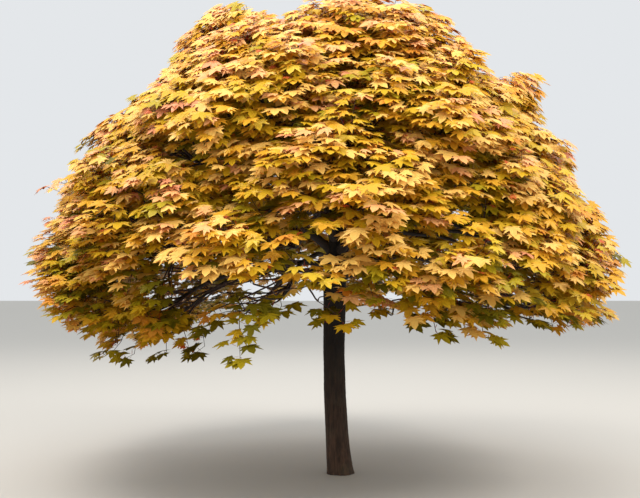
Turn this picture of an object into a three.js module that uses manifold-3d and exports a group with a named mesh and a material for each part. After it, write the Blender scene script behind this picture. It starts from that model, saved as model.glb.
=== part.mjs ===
// A mop-headed maple in its yellow leaf: a short leaning trunk, boughs that fan out of its head, and a
// broad domed crown whose leaves hang in several masses round an open space under the dome.
// Millimetres, +Z up. The origin is the middle of the trunk's flat foot at ground level, and the crown's
// front faces -Y. Every limb is one tapering solid, and every mass of leaves is one solid.
import * as THREE from "three";
import { mergeVertices } from "three/addons/utils/BufferGeometryUtils.js";
import Module from "manifold-3d";

const wasm = await Module();
wasm.setup();

// Gap between two solids that meet
const GAP = 0.35;

// Starting number of every chance draw
const SEED = 617;

// The crown is a dome about its heart: it rises to a blunt top and turns in again below its widest ring
const CROWN = {
  heart: new THREE.Vector3(60, 0, 1650), // middle of the widest ring
  spread: 2435, // from the heart to the widest ring
  leftReach: 140, // further to the left than the mean, and as much nearer on the right
  rise: 2225, // from the heart to the top
  frontDrop: 700, // from the heart to where the dome would close below, in front and behind
  sideDrop: 880, // the same at the sides
  risePower: 1.6, // 2 gives an ellipse above the ring, 1 gives a cone
  dropPower: 2.4,
  frontHem: 1200, // height of the hem in front and behind
  sideHem: 1000, // mean height of the hem at the sides
  rightLift: 130, // how much higher it is on the right, and how much lower on the left
  furrow: 100, // how far the surface sinks between two masses
  furrowWidth: 0.3,
  // places where the dome swells or sinks. bearing is measured from +X and fall from the zenith, width is
  // half of it round the crown and height half of it from top to bottom, all in degrees
  lobes: [
    { bearing: -170, fall: 31, width: 22, height: 8, swell: 170 }, // the upper left
    { bearing: -170, fall: 17, width: 22, height: 5, swell: -210 }, // the notch above it
    { bearing: -10, fall: 36, width: 24, height: 5, swell: -150 }, // the notch above the right shoulder
    { bearing: -10, fall: 46.5, width: 22, height: 5, swell: 140 }, // the right shoulder
    { bearing: -10, fall: 57, width: 28, height: 7, swell: -280 }, // the hollow under it
    { bearing: -10, fall: 74, width: 30, height: 9, swell: -120 }, // the flank below
  ],
};

// One row of masses round the crown each, from the hem to the top.
// fall is the angle from the zenith at the heart, at the sides and in front and behind, and first is the
// first mass's bearing from +X
const TIERS = [
  { name: "skirt", count: 9, fall: 103, frontFall: 98, first: -70, swell: 0 },
  { name: "flank", count: 9, fall: 83, frontFall: 80, first: -90, swell: 0 },
  { name: "shoulder", count: 6, fall: 57, frontFall: 57, first: -4, swell: 30 },
  { name: "cap", count: 3, fall: 24, frontFall: 24, first: -60, swell: 40 },
];
const SWAY = { bearing: 7, fall: 3, swell: 70 }; // most that chance moves a mass, in degrees and in mm

// Depths below the crown's surface, towards the heart
const DEPTH = { boughTip: 950, middle: 400, stemTip: 370 };

const TRUNK = {
  middle: new THREE.Vector3(-100, 12, 950), // pulls the bow of the trunk to the left
  top: new THREE.Vector3(6, 0, 2090),
  sides: 16,
  // height above the ground and radius
  profile: [
    [0, 97], [90, 95], [260, 92], [520, 87], [880, 84], [1250, 87], [1500, 91],
    [1680, 86], [1850, 73], [2010, 62], [2065, 46], [2090, 20],
  ],
  flare: 0.16, // share added to the radius at the ground
  flareHeight: 110,
  buttresses: 5,
  buttressDepth: 0.3,
};

const LIMB_SIDES = 6;
const LIMB_RINGS = 5;
const BOUGHS = {
  skirt: { root: 24, tip: 11, height: 1530, stagger: 110, out: 0.55, lift: 330 },
  flank: { root: 21, tip: 11, share: 0.34, stagger: 0.16, out: 0.5, lift: 90 },
  shoulder: { root: 35, tip: 13, height: 1730, stagger: 110, out: 0.42, lift: 120 },
  cap: { root: 33, tip: 14, height: 1930, stagger: 0, out: 0.45, lift: 60 },
};

const STEM = { tip: 8, straight: 240, sides: 4, rings: 2 };
const TWIG = { root: 11, tip: 7, depth: 370, gather: 0.3, enters: 0.12 };

// The dense inside of a mass: a cushion that lies under the leaves and fills most of the mass's space
const CUSHION = {
  depth: 370, // of its middle layer below the surface
  half: 80, // half its thickness
  fill: 1,
  margin: 20,
  step: 30,
  widest: 1000,
  roughness: 60,
  sides: 8,
  rows: 3,
};

// Each leaf of the solids stands for a spray of real ones. Outer leaves end a twig each and reach the
// crown's surface. Inner leaves lie below them, their feet sunk in the cushion
const LEAVES = {
  count: 510,
  lowest: 109, // greatest angle from the zenith at the heart, in degrees
  outer: [0, 50, 100], // depths of the tips; neighbours differ, so that they overlap without crossing
  inner: [150, 190],
  length: 420,
  thickness: 0.05, // of the length, at the middle
  rise: 0.55, // how steeply a leaf climbs from its foot to the surface
  hang: 0.8, // how much a leaf's tip turns down, beside the way out from its mass's middle
  lean: 0.4, // how much a leaf's face turns up
  // a leaf that doesn't fit is tried again smaller and turned
  sizes: [1, 0.75, 0.55],
  turns: [0, 45, -45, 90, -90],
};

// Outlines of a leaf of length 1 from its foot, with how far each point droops
const LOBED = [
  [0, 0, 0], [0.5, -0.5, -0.04], [0.64, -0.19, -0.01],
  [1, 0, -0.06], [0.64, 0.19, -0.01], [0.5, 0.5, -0.04],
];
const PLAIN = [[0, 0, 0], [0.45, -0.42, -0.03], [1, 0, -0.06], [0.45, 0.42, -0.03]];
const LEAF_MIDDLE = 0.42;

const UP = new THREE.Vector3(0, 0, 1);
const GOLDEN_ANGLE = Math.PI * (3 - Math.sqrt(5));

const MATERIALS = {
  bark: new THREE.MeshStandardMaterial({ color: "#4a3a2f", roughness: 0.92, metalness: 0 }),
  limb: new THREE.MeshStandardMaterial({ color: "#33271f", roughness: 0.9, metalness: 0 }),
  leaf: new THREE.MeshStandardMaterial({ color: "#e0a93e", roughness: 0.6, metalness: 0 }),
};

// A share from 0 to 1 that is always the same for the same whole numbers
function chance(...keys) {
  let h = SEED;
  for (const key of keys) {
    h = Math.imul((h ^ key) + 0x7f4a7c15, 0x85ebca6b);
    h ^= h >>> 13;
    h = Math.imul(h, 0xc2b2ae35);
    h ^= h >>> 16;
  }
  return (h >>> 0) / 2 ** 32;
}

function radians(degrees) {
  return (degrees * Math.PI) / 180;
}

// Unit vector at a bearing from +X and an angle from the zenith
function direction(bearing, fall) {
  return new THREE.Vector3(
    Math.sin(fall) * Math.cos(bearing),
    Math.sin(fall) * Math.sin(bearing),
    Math.cos(fall),
  );
}

// Distance from the heart to the dome and its lobes along a unit vector. A lobe is bell-shaped both ways
function domeReach(d) {
  const level = Math.hypot(d.x, d.y);
  const spread = CROWN.spread - (CROWN.leftReach * d.x) / Math.max(level, 1e-6);
  const power = d.z > 0 ? CROWN.risePower : CROWN.dropPower;
  const height = d.z > 0 ? CROWN.rise : frontToSide(d, CROWN.frontDrop, CROWN.sideDrop);
  const smooth = ((level / spread) ** power + (Math.abs(d.z) / height) ** power) ** (-1 / power);
  const bearing = Math.atan2(d.y, d.x);
  const fall = Math.atan2(level, d.z);
  return CROWN.lobes.reduce((sum, lobe) => {
    const turn = bearing - radians(lobe.bearing);
    const aside = (level * Math.atan2(Math.sin(turn), Math.cos(turn))) / radians(lobe.width);
    const down = (fall - radians(lobe.fall)) / radians(lobe.height);
    return sum + lobe.swell * Math.exp(-(aside ** 2) - down ** 2);
  }, smooth);
}

// One value in front and behind, and another soon to either side, for a unit vector from the heart
function frontToSide(d, front, side) {
  const sideways = d.x ** 2 / Math.max(d.x ** 2 + d.y ** 2, 1e-9);
  return THREE.MathUtils.lerp(front, side, Math.min(1, 1.6 * sideways));
}

// Height of the hem in a direction from the heart
function hem(d) {
  const side = CROWN.sideHem + (CROWN.rightLift * d.x) / Math.max(Math.hypot(d.x, d.y), 1e-6);
  return frontToSide(d, CROWN.frontHem, side);
}

// The point at a depth below the dome, seen from the heart along d
function below(d, depth, swell = 0) {
  return CROWN.heart.clone().addScaledVector(d, domeReach(d) + swell - depth);
}

// Where every mass sits: its direction, its place on the surface and its middle
const masses = TIERS.flatMap((tier, row) =>
  Array.from({ length: tier.count }, (_, i) => {
    const drift = (k, most) => (2 * chance(row, i, k) - 1) * most;
    const bearing = radians(tier.first + (360 * i) / tier.count + drift(1, SWAY.bearing));
    const fall = frontToSide(direction(bearing, Math.PI / 2), tier.frontFall, tier.fall);
    const d = direction(bearing, radians(fall + drift(2, SWAY.fall)));
    const swell = tier.swell + drift(3, SWAY.swell);
    return {
      tier: tier.name,
      row,
      number: i + 1,
      key: 100 * row + i,
      d,
      swell,
      surface: below(d, 0, swell),
      middle: below(d, DEPTH.middle, swell),
    };
  }),
);

// A point of the lumpy crown: the dome, swollen as the nearest mass is and sunk where two masses meet
function crownPoint(d) {
  const plain = below(d, 0);
  const near = masses
    .map((mass) => [mass.surface.distanceTo(plain), mass])
    .sort((a, b) => a[0] - b[0]);
  const lead = (near[1][0] - near[0][0]) / (near[1][0] + near[0][0]);
  const inside = THREE.MathUtils.smoothstep(lead, 0, CROWN.furrowWidth);
  return below(d, CROWN.furrow * (1 - inside), near[0][1].swell * inside);
}

// True if a point lies in a mass's own space: nearer to its middle than to any other, with room to spare
function inSpace(mass, point, margin) {
  const own = point.distanceToSquared(mass.middle);
  return masses.every((other) => {
    if (other === mass) return true;
    const apart = 2 * other.middle.distanceTo(mass.middle);
    return (point.distanceToSquared(other.middle) - own) / apart > margin;
  });
}

// A closed solid from a geometry whose shared vertices are merged, without triangles shrunk to a line
function solidFrom(geometry) {
  const bare = geometry.clone();
  bare.deleteAttribute("normal");
  bare.deleteAttribute("uv");
  const merged = mergeVertices(bare, 1e-3);
  const corners = merged.index.array;
  const kept = [];
  for (let i = 0; i < corners.length; i += 3) {
    const [a, b, c] = corners.slice(i, i + 3);
    if (a !== b && b !== c && c !== a) kept.push(a, b, c);
  }
  return new wasm.Manifold(
    new wasm.Mesh({
      numProp: 3,
      vertProperties: new Float32Array(merged.attributes.position.array),
      triVerts: new Uint32Array(kept),
    }),
  );
}

function geometryFrom(solid) {
  const mesh = solid.getMesh();
  const geometry = new THREE.BufferGeometry();
  geometry.setAttribute("position", new THREE.BufferAttribute(mesh.vertProperties, 3));
  geometry.setIndex(new THREE.BufferAttribute(mesh.triVerts, 1));
  geometry.computeVertexNormals();
  return geometry;
}

// The largest body of a solid, without loose scraps and sealed hollows
function wholeBody(solid) {
  return solid.decompose().reduce((a, b) => (b.volume() > a.volume() ? b : a));
}

// A closed tapering tube: the rings of a cylinder carried along a curve
function taperedTube(curve, rootRadius, tipRadius, sides, rings) {
  const tube = new THREE.CylinderGeometry(1, 1, 1, sides, rings);
  const frames = curve.computeFrenetFrames(rings, false);
  const place = tube.attributes.position;
  for (let i = 0; i < place.count; i++) {
    const along = place.getY(i) + 0.5;
    const ring = Math.round(along * rings);
    const radius = THREE.MathUtils.lerp(rootRadius, tipRadius, along);
    const point = curve
      .getPointAt(ring / rings)
      .addScaledVector(frames.binormals[ring], place.getX(i) * radius)
      .addScaledVector(frames.normals[ring], place.getZ(i) * radius);
    place.setXYZ(i, point.x, point.y, point.z);
  }
  return tube;
}

// The trunk's middle line at a height
function trunkMiddle(height) {
  return new THREE.QuadraticBezierCurve3(new THREE.Vector3(), TRUNK.middle, TRUNK.top)
    .getPoint(height / TRUNK.top.z)
    .setZ(height);
}

// The trunk is turned from its profile, bowed along its middle line and flared into low buttresses.
// extra widens it, for the tool that cuts the boughs' roots clear of it
function trunkGeometry(extra = 0) {
  const rows = TRUNK.profile.map(([height, radius]) => new THREE.Vector2(radius + extra, height));
  const foot = new THREE.Vector2(0, 0);
  const tip = new THREE.Vector2(0, TRUNK.top.z + extra);
  const turned = new THREE.LatheGeometry([foot, ...rows, tip], TRUNK.sides);
  turned.rotateX(Math.PI / 2);
  const place = turned.attributes.position;
  for (let i = 0; i < place.count; i++) {
    const [x, y, z] = [place.getX(i), place.getY(i), place.getZ(i)];
    const fluting = 1 + TRUNK.buttressDepth * Math.cos(TRUNK.buttresses * Math.atan2(y, x));
    const swell = 1 + TRUNK.flare * Math.exp(-z / TRUNK.flareHeight) * fluting;
    const middle = trunkMiddle(Math.min(z, TRUNK.top.z));
    place.setXYZ(i, middle.x + x * swell, middle.y + y * swell, z);
  }
  return turned;
}

const trunk = { name: "trunk", solid: solidFrom(trunkGeometry()), tool: solidFrom(trunkGeometry(GAP)) };

// One bough: a tapering limb from the middle of what carries it to a mass, its root cut clear of the carrier
function bough(mass, root, carrier, sizes) {
  const tip = below(mass.d, DEPTH.boughTip, mass.swell);
  const run = tip.clone().sub(root);
  const bend = root.clone().addScaledVector(run, sizes.out);
  bend.z += sizes.lift;
  const curve = new THREE.QuadraticBezierCurve3(root, bend, tip);
  const whole = (extra) =>
    solidFrom(
      taperedTube(curve, sizes.root + extra, sizes.tip + extra, LIMB_SIDES, LIMB_RINGS),
    );
  return {
    name: `bough_${mass.tier}_${mass.number}`,
    mass,
    curve,
    sizes,
    solid: wholeBody(whole(0).subtract(carrier.tool)),
    tool: whole(GAP),
  };
}

// Boughs that spring from the trunk, every second one a step higher
function boughFromTrunk(mass) {
  const sizes = BOUGHS[mass.tier];
  const height = sizes.height + (mass.number % 2) * sizes.stagger;
  return bough(mass, trunkMiddle(height), trunk, sizes);
}

// Boughs that fork from the nearest shoulder bough, at a place of their own along it
function boughFromShoulder(mass, shoulders) {
  const sizes = BOUGHS[mass.tier];
  const bearing = (m) => m.d.clone().setZ(0).normalize();
  const carrier = shoulders.reduce((a, b) =>
    bearing(b.mass).dot(bearing(mass)) > bearing(a.mass).dot(bearing(mass)) ? b : a,
  );
  const taken = carrier.forks ?? 0;
  carrier.forks = taken + 1;
  return bough(mass, carrier.curve.getPointAt(sizes.share + taken * sizes.stagger), carrier, sizes);
}

const ofTier = (name) => masses.filter((mass) => mass.tier === name);
const shoulders = ofTier("shoulder").map(boughFromTrunk);
const boughs = [
  ...ofTier("skirt").map(boughFromTrunk),
  ...ofTier("flank").map((mass) => boughFromShoulder(mass, shoulders)),
  ...shoulders,
  ...ofTier("cap").map(boughFromTrunk),
];

// The stem that carries on a bough into its mass, first straight and then towards the surface
function stemCurve(limb) {
  const heading = limb.curve.getTangentAt(1);
  const start = limb.curve.getPointAt(1).addScaledVector(heading, GAP);
  const bend = start.clone().addScaledVector(heading, STEM.straight);
  return new THREE.QuadraticBezierCurve3(start, bend, below(limb.mass.d, DEPTH.stemTip, limb.mass.swell));
}

// Every leaf, spread evenly over the crown by a sunflower's spiral from its top down to its hem. It points
// away from the end of its mass's stem, out of the crown and down. One that would hang below the hem is
// left out
const lowest = Math.cos(radians(LEAVES.lowest));
const leaves = Array.from({ length: LEAVES.count }, (_, k) => {
  const share = (k + 0.5) / LEAVES.count;
  const fall = Math.acos(1 - share * (1 - lowest));
  const d = direction(k * GOLDEN_ANGLE, fall);
  const outer = k % 2 === 0;
  const depths = outer ? LEAVES.outer : LEAVES.inner;
  const surface = crownPoint(d);
  const tip = surface.clone().addScaledVector(d, -depths[Math.floor(k / 2) % depths.length]);
  const mass = masses.find((m) => inSpace(m, tip, GAP));
  return { outer, d, surface, tip, mass };
}).filter(({ d, surface }) => surface.z > hem(d));

// How a leaf lies: its axis climbs to the surface, outwards from its mass's middle and down, and its upper
// side looks out of the crown and up
function leafLie(mass, tip, turn) {
  const outward = tip.clone().sub(CROWN.heart).normalize();
  const onSurface = (v) => v.addScaledVector(outward, -v.dot(outward));
  const away = onSurface(tip.clone().sub(mass.surface)).normalize();
  const lateral = away.addScaledVector(onSurface(UP.clone()), -LEAVES.hang).normalize();
  lateral.applyAxisAngle(outward, radians(turn));
  const axis = lateral.addScaledVector(outward, LEAVES.rise).normalize();
  const across = new THREE.Vector3().crossVectors(outward.addScaledVector(UP, LEAVES.lean), axis).normalize();
  return { axis, across, normal: new THREE.Vector3().crossVectors(axis, across) };
}

// A plain leaf of two pyramids on one outline, from its foot along an axis
function plainLeaf({ foot, axis, across, normal, length }) {
  const leaf = new THREE.SphereGeometry(1, PLAIN.length, 2);
  return reshaped(leaf, (u, v) => {
    const rim = PLAIN[Math.round(u * PLAIN.length) % PLAIN.length];
    const side = Math.sign(Math.round(2 * v) - 1);
    const [x, y, z] = side ? [LEAF_MIDDLE, 0, (side * LEAVES.thickness) / 2] : rim;
    return foot
      .clone()
      .addScaledVector(axis, x * length)
      .addScaledVector(across, y * length)
      .addScaledVector(normal, z * length);
  });
}

// A lobed leaf and its three-sided twig in one closed surface: the middle of the leaf's upper side, its
// outline, the ring where the twig meets its underside, and the ring and the end at the twig's root
function lobedLeaf({ foot, axis, across, normal, length, root }) {
  const leaf = new THREE.SphereGeometry(1, LOBED.length, 4);
  const place = (x, y, z) =>
    foot
      .clone()
      .addScaledVector(axis, x * length)
      .addScaledVector(across, y * length)
      .addScaledVector(normal, z * length);
  const under = place(TWIG.enters, 0, -LEAVES.thickness / 2);
  const run = under.clone().sub(root).normalize();
  const level = axis.clone().addScaledVector(run, -axis.dot(run)).normalize();
  return reshaped(leaf, (u, v) => {
    const corner = Math.round(u * LOBED.length) % LOBED.length;
    const turn = Math.PI + (2 * Math.PI * (Math.floor(corner / 2) + 0.25)) / 3;
    const ring = (middle, forward, radius) =>
      middle
        .clone()
        .addScaledVector(forward, radius * Math.cos(turn))
        .addScaledVector(across, radius * Math.sin(turn));
    return [
      () => root.clone(),
      () => ring(root, level, TWIG.root),
      () => ring(under, axis, TWIG.tip),
      () => place(...LOBED[corner]),
      () => place(LEAF_MIDDLE, 0, LEAVES.thickness / 2),
    ][Math.round(4 * v)]();
  });
}

// A closed solid from a geometry whose vertices are moved to where place puts them by their u and v
function reshaped(geometry, place) {
  const { position, uv } = geometry.attributes;
  const corners = [];
  for (let i = 0; i < position.count; i++) {
    const corner = place(uv.getX(i), uv.getY(i));
    position.setXYZ(i, corner.x, corner.y, corner.z);
    corners.push(corner);
  }
  return { solid: solidFrom(geometry), corners };
}

// How far a mass reaches from its middle line in one direction, along a layer below the crown's surface
function spaceEdge(mass, aside) {
  let edge = 0;
  while (edge < CUSHION.widest) {
    const point = layerPoint(mass, aside, edge + CUSHION.step, CUSHION.depth);
    const d = point.clone().sub(CROWN.heart).normalize();
    if (!inSpace(mass, point, CUSHION.margin) || d.z < lowest) break;
    if (point.z < hem(d) + CUSHION.half) break;
    edge += CUSHION.step;
  }
  return edge;
}

// The point at a distance aside from a mass's middle line and at a depth below the lumpy surface
function layerPoint(mass, aside, distance, depth) {
  const d = mass.middle.clone().addScaledVector(aside, distance).sub(CROWN.heart).normalize();
  return crownPoint(d).addScaledVector(d, -depth);
}

// A ball pressed into a rough cushion that follows the crown's surface and fills most of the mass's space
function cushionSolid(mass) {
  const level = new THREE.Vector3(-mass.d.y, mass.d.x, 0).normalize();
  const rising = new THREE.Vector3().crossVectors(mass.d, level);
  const round = new THREE.SphereGeometry(1, CUSHION.sides, CUSHION.rows).deleteAttribute("uv");
  const ball = mergeVertices(round.deleteAttribute("normal"), 1e-3);
  const place = ball.attributes.position;
  for (let i = 0; i < place.count; i++) {
    const [x, y, z] = [place.getX(i), place.getY(i), place.getZ(i)];
    const ring = Math.hypot(x, z);
    const aside = level.clone().multiplyScalar(x).addScaledVector(rising, z).normalize();
    const distance = CUSHION.fill * spaceEdge(mass, aside) * ring;
    const rough = CUSHION.roughness * (chance(mass.key, 11, i) - 0.5);
    const point = layerPoint(mass, aside, distance, CUSHION.depth + y * CUSHION.half + rough);
    place.setXYZ(i, point.x, point.y, point.z);
  }
  return solidFrom(ball);
}

const limbTools = wasm.Manifold.union([trunk.tool, ...boughs.map((limb) => limb.tool)]);
const meets = (a, b) => !a.intersect(b).isEmpty();

// A whole mass: its stem, its cushion, outer leaves on a twig each, and inner leaves. A leaf that would
// leave the mass's space, touch a limb or cross another is tried smaller, or else skipped
function foliage(limb) {
  const { mass, sizes } = limb;
  const stem = stemCurve(limb);
  const own = leaves.filter((leaf) => leaf.mass === mass);
  const placed = [];
  const fits = ({ solid, corners }) =>
    corners.every((corner) => inSpace(mass, corner, GAP)) &&
    !meets(solid, limbTools) &&
    !placed.some((other) => meets(other, solid));
  for (const { outer, d, surface, tip } of [...own.filter((l) => l.outer), ...own.filter((l) => !l.outer)]) {
    const root = surface.clone().addScaledVector(d, -TWIG.depth).lerp(stem.getPoint(1), TWIG.gather);
    for (const [size, turn] of LEAVES.sizes.flatMap((s) => LEAVES.turns.map((t) => [s, t]))) {
      const lie = leafLie(mass, tip, turn);
      const length = LEAVES.length * size;
      const foot = tip.clone().addScaledVector(lie.axis, -length);
      const leaf = (outer ? lobedLeaf : plainLeaf)({ ...lie, foot, length, root });
      if (!fits(leaf)) continue;
      placed.push(leaf.solid);
      break;
    }
  }
  const wood = solidFrom(taperedTube(stem, sizes.tip, STEM.tip, STEM.sides, STEM.rings));
  return wholeBody(wasm.Manifold.union([wood, cushionSolid(mass), ...placed]));
}

function named(name, solid, material) {
  const mesh = new THREE.Mesh(geometryFrom(solid), material);
  mesh.name = name;
  return mesh;
}

const tree = new THREE.Group();
tree.name = "maple_tree";
tree.add(named(trunk.name, trunk.solid, MATERIALS.bark));
for (const limb of boughs) {
  tree.add(named(limb.name, limb.solid, MATERIALS.limb));
  tree.add(named(`leaves_${limb.mass.tier}_${limb.mass.number}`, foliage(limb), MATERIALS.leaf));
}

export default tree;
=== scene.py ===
"""A mop-headed maple in its yellow leaf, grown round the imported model.

The trunk and boughs get their bark, and every mass of leaves becomes branches, shoots, stalks and blades
that grow on from the boughs. Metres, +Z up, the middle of the trunk's foot at the origin, front to -Y.
"""

import functools

import bpy
import numpy as np
from bpy.props import FloatProperty, FloatVectorProperty, IntProperty, PointerProperty
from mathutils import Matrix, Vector


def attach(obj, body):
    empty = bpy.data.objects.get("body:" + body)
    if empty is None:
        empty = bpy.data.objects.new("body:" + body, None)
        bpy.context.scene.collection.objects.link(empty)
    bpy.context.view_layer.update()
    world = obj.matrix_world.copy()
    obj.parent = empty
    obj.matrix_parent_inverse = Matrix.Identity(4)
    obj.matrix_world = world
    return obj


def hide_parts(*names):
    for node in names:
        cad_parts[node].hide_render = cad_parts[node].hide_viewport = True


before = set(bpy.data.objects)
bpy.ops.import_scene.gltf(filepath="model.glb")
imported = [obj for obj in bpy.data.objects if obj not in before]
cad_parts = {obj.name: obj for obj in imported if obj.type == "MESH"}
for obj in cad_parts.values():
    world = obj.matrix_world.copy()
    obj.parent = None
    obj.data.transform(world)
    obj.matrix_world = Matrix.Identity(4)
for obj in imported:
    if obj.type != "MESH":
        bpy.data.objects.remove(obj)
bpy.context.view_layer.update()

bl_info = {
    "name": "Mop-headed Maple",
    "version": (1, 0, 0),
    "blender": (4, 5, 0),
    "location": "3D View > Sidebar > Maple",
    "description": "Grows a maple's bark, twigs and leaves round its packed model",
    "category": "Add Mesh",
}

BODY = "root"
UP = np.array([0.0, 0.0, 1.0])
GOLDEN_ANGLE = np.pi * (3 - np.sqrt(5))

# Chance runs in whole numbers of 32 bits: its start, what each key adds, and the factors and shifts that
# mix the bits
SEED = 617
WORD = np.uint64(0xFFFFFFFF)
KEY_STEP = np.uint64(0x7F4A7C15)
MIX_ROUNDS = [(np.uint64(0x85EBCA6B), np.uint64(13)), (np.uint64(0xC2B2AE35), np.uint64(16))]
FAR_ROUND = 65536

# The crown is a dome about its heart: it rises to a blunt top and turns in again below its widest ring
HEART = np.array([0.06, 0.0, 1.65])
SPREAD = 2.435
LEFT_REACH = 0.14
RISE = 2.225
FRONT_DROP = 0.7
SIDE_DROP = 0.88
RISE_POWER = 1.6
DROP_POWER = 2.4
FRONT_HEM = 1.2
SIDE_HEM = 1.0
RIGHT_LIFT = 0.13
BACK_LIFT = 0.14
# How soon a value in front turns into the one at the side
SIDE_BLEND = 1.6
FURROW = 0.1
FURROW_WIDTH = 0.3
# The lowest leaves hang at this angle from the zenith
LOWEST = np.cos(np.radians(109))

# Places where the dome swells or sinks: bearing and angle from the zenith, half the width round the crown,
# half the height from top to bottom, all in degrees, and the swelling
LOBES = [
    (-170, 31, 22, 8, 0.17),
    (-170, 17, 22, 5, -0.21),
    (-10, 36, 24, 5, -0.15),
    (-10, 46.5, 22, 5, 0.14),
    (-10, 57, 28, 7, -0.28),
    (-10, 74, 30, 9, -0.12),
]

# One row of masses round the crown each: name, count, angle from the zenith at the sides and in front,
# first bearing and swelling
TIERS = [
    ("skirt", 9, 103, 98, -70, 0.0),
    ("flank", 9, 83, 80, -90, 0.0),
    ("shoulder", 6, 57, 57, -4, 0.03),
    ("cap", 3, 24, 24, -60, 0.04),
]
SWAY_BEARING = 7
SWAY_FALL = 3
SWAY_SWELL = 0.07

# Depths below the crown's surface, towards the heart
BOUGH_TIP_DEPTH = 0.95
MIDDLE_DEPTH = 0.4
STEM_TIP_DEPTH = 0.37
STEM_STRAIGHT = 0.24

# The trunk's middle line is a curve of three points. Its profile is height above the ground and radius
TRUNK_LINE = np.array([[0.0, 0.0, 0.0], [-0.1, 0.012, 0.95], [0.006, 0.0, 2.09]])
TRUNK_PROFILE = np.array([
    [0.0, 0.097], [0.09, 0.095], [0.26, 0.092], [0.52, 0.087], [0.88, 0.084], [1.25, 0.087],
    [1.5, 0.091], [1.68, 0.086], [1.85, 0.073], [2.01, 0.062], [2.065, 0.046], [2.09, 0.02],
])
FLARE = 0.16
FLARE_HEIGHT = 0.11
BUTTRESSES = 5
BUTTRESS_DEPTH = 0.3

# Patterns in the bark: cells round the trunk, height of a cell and first key of chance
BARK_WAVER = (9, 0.13, 80)
BARK_NET = (22, 0.075, 81)
BARK_FINE_NET = (44, 0.03, 82)
BARK_LUMPS = (7, 0.16, 83)
BARK_GRAIN = (66, 0.02, 84)
# How far the net wavers in cells, the shares of the net and of the fine one, and how much of the relief the
# grain gets
WAVER = 0.5
NET_SHARE, FINE_SHARE = 0.7, 0.3
GRAIN_SHARE = 0.4
FISSURE_WIDTH = 0.07
# Height of the lumps, and how many times that the graft adds
LUMP_HEIGHT = 0.006
GRAFT_LUMPS = 1.5
# Heights between which the graft's lumps come and go, and the bark's relief ends
GRAFT_FROM, GRAFT_TO, BARK_END = (1.28, 1.42), (1.5, 1.7), (1.95, 2.09)

# Boughs of each tier: radius at the root and at the tip, how far out their bend lies, and how far it is
# lifted
BOUGHS = {
    "skirt": (0.024, 0.011, 0.55, 0.33),
    "flank": (0.021, 0.011, 0.5, 0.09),
    "shoulder": (0.035, 0.013, 0.42, 0.12),
    "cap": (0.033, 0.014, 0.45, 0.06),
}
# Height of the lowest root on the trunk, and how much higher every second one springs
TRUNK_ROOTS = {"skirt": (1.53, 0.11), "shoulder": (1.73, 0.11), "cap": (1.93, 0.0)}
# Place of the first fork along a shoulder bough, and how much further out the next one is
FORK_SHARE = 0.34
FORK_STEP = 0.16
STEM_TIP_RADIUS = 0.005
# A bough's knots: cells round it, height of a cell and depth, and the cells from one bough's chances to the
# next one's. Its collar: swelling, height and fade
KNOTS = (5, 0.09, 0.28)
KNOT_STEP = 31
COLLAR = (0.5, 0.07, 0.05)
# How far chance moves a limb and a branch aside, the bends along it, and how many bends on the next line
# takes its chances
LIMB_WANDER = (0.024, 5)
BRANCH_WANDER = (0.03, 4)
WANDER_STEP = 0.37

# The source's leaves, each of which is a branch here
BRANCHES = 510
OUTER_DEPTHS = np.array([0.0, 0.05, 0.1])
INNER_DEPTHS = np.array([0.15, 0.19])
TWIG_DEPTH = 0.37
TWIG_GATHER = 0.3
LEAF_RISE = 0.55
LEAF_HANG = 0.8
# How far before its stem's end a branch leaves: a share of the run to its bend, more of it by chance, and a
# length. In the skirt that is so many times as far, and up to a length more
BRANCH_BACK = (0.7, 0.5, 0.03)
SKIRT_BACK = (2, 0.3)
MOST_BACK = 1.3
# How far it ends before the leaf's tip, along the leaf and into the crown
BRANCH_SHORT = (0.13, 0.16)
BRANCH_RADII = (0.0075, 0.0035)
# Share of that which the thinnest has, and the most that chance adds
BRANCH_THICKNESS = (0.85, 0.3)

TRUNK_RINGS, TRUNK_SIDES = 220, 132
BOUGH_RINGS, BOUGH_SIDES = 30, 14
STEM_RINGS = 10
BRANCH_RINGS, BRANCH_SIDES = 10, 6
SHOOT_RINGS, SHOOT_SIDES = 4, 3
CARRIER_POINTS = 200

# Half of a blade's outline, from its foot to its tip, at a size of 1: along the midrib, aside, and how much
# the point stands above the sinking blade
HALF_BLADE = [
    (-0.06, 0.16, 0.0), (-0.12, 0.66, -0.05), (0.18, 0.46, 0.02), (0.29, 0.72, -0.03), (0.42, 0.53, 0.0),
    (0.81, 0.78, -0.06), (0.55, 0.27, 0.03), (0.84, 0.24, 0.0),
]
BLADE_FOOT = (0.0, 0.0, 0.0)
BLADE_MIDDLE = (0.27, 0.0, 0.02)
BLADE_TIP = (1.17, 0.0, -0.05)
STALK_WIDTH = 0.0028

# A shoot's pairs of leaves from its tip inwards: how far back they stand, and how large their parts are
PAIR_BACK = np.array([0.0, 0.03, 0.09, 0.17])
PAIR_STALK = np.array([0.42, 0.68, 0.9, 1.0])
PAIR_BLADE = np.array([0.72, 0.94, 1.06, 1.0])
# Angle at which the first pair opens and degrees by which its blades sink, then what each other pair adds
# and what chance adds or takes off
PAIR_OPENING = (0.4, 0.5, 0.3)
BLADE_SINK = (1, 1.5, 9)
# How steeply a stalk rises to the light side, and what chance adds or takes off
STALK_RISE = (0.35, 0.25)
# Share of its stalk's angle by which a blade turns
BLADE_TURN = 0.65
# What chance adds or takes off: the angle of all the leaves of a shoot, shares of a stalk's length and of a
# blade's size, and a blade's roll. It also lets a blade droop, by this at most
SHOOT_TURN = 0.3
STALK_SWAY, BLADE_SWAY = 0.2, 0.14
BLADE_ROLL = 0.2
BLADE_DROOP = 0.05
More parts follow.
